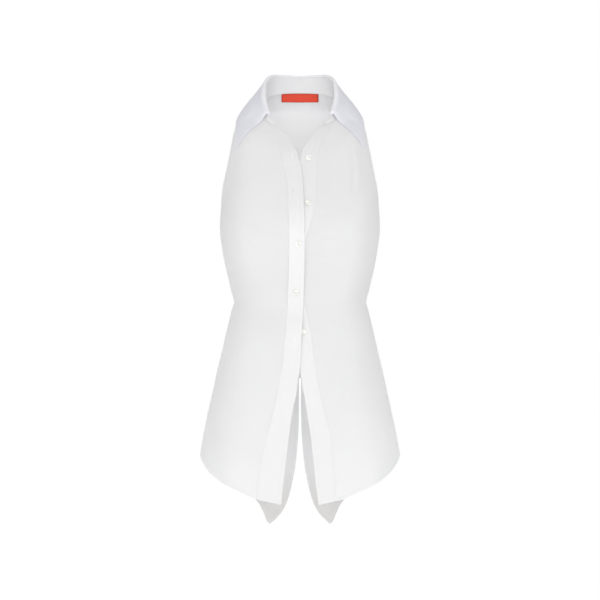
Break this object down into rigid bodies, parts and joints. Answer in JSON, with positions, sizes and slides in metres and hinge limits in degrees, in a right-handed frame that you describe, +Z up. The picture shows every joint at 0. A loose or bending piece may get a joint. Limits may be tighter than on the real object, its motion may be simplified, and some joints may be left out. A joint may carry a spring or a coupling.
{
  "type": "sleeveless shirt",
  "caption": "Sleeveless halter-cut button-front shirt, filled out and hollow, with a pointed collar worn open, a nipped waist and a shirt-tail hem split at the back.",
  "frame": {"origin": "on the neck's own axis, level with the points where the shoulder seams reach the neck; it is where a form would hold the shirt", "axes": "+Z up along the body, the front faces -Y, the wearer's right is -X"},
  "size_m": [0.3798, 0.2539, 0.8706],
  "materials": {
    "cotton": "white cotton poplin, matt, slightly sheer",
    "doubled_cotton": "the same poplin folded double, so a little whiter",
    "button": "pearl white, glossy",
    "label": "orange-red woven tape, bare"
  },
  "bodies": {
    "root": {"front_right": "cotton", "front_left": "cotton", "front_band_right": "doubled_cotton", "front_band_left": "doubled_cotton", "back_right": "cotton", "back_left": "cotton", "collar_stand": "cotton", "collar_leaf": "cotton", "label": "label", "button_1": "button", "button_2": "button", "button_3": "button", "button_4": "button", "button_5": "button"}
  },
  "joints": []
}
